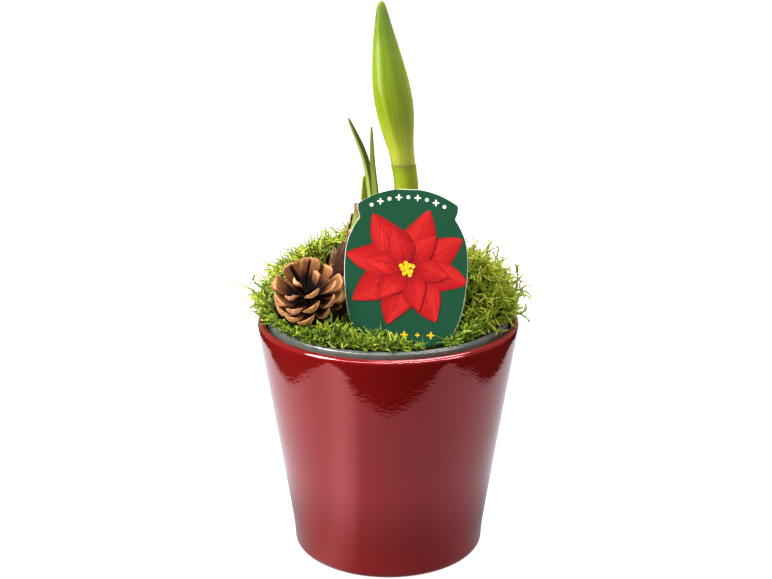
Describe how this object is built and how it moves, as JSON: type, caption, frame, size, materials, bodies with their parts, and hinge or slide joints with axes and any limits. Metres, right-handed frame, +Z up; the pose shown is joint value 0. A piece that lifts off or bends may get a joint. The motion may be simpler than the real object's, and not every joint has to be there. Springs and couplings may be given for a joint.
{
  "type": "potted amaryllis bulb plant",
  "caption": "Amaryllis bulb with a closed bud and young leaves in a nursery pot inside a tapered glazed pot, with moss, a pine cone and a plant label.",
  "frame": {"origin": "centre of the glazed pot's flat base", "axes": "+Z up along the pot's axis, front towards -Y where the label faces, +X to the right seen from the front"},
  "size_m": [0.1629, 0.1527, 0.3086],
  "materials": {
    "glaze": "gloss",
    "grey_plastic": "satin",
    "soil": "matte",
    "bulb_skin": "satin",
    "stalk_green": "satin",
    "bud_green": "satin",
    "leaf_green": "satin",
    "moss_green": "matte",
    "cone_wood": "matte",
    "label_card": "gloss"
  },
  "bodies": {
    "root": {"cachepot": "glaze", "nursery_pot": "grey_plastic", "potting_soil": "soil", "bulb": "bulb_skin", "flower_stalk": "stalk_green", "flower_bud": "bud_green", "leaf_long": "leaf_green", "leaf_middle": "leaf_green", "leaf_short": "leaf_green", "leaf_young": "leaf_green", "moss": "moss_green", "pine_cone": "cone_wood", "plant_label": "label_card"}
  },
  "joints": []
}
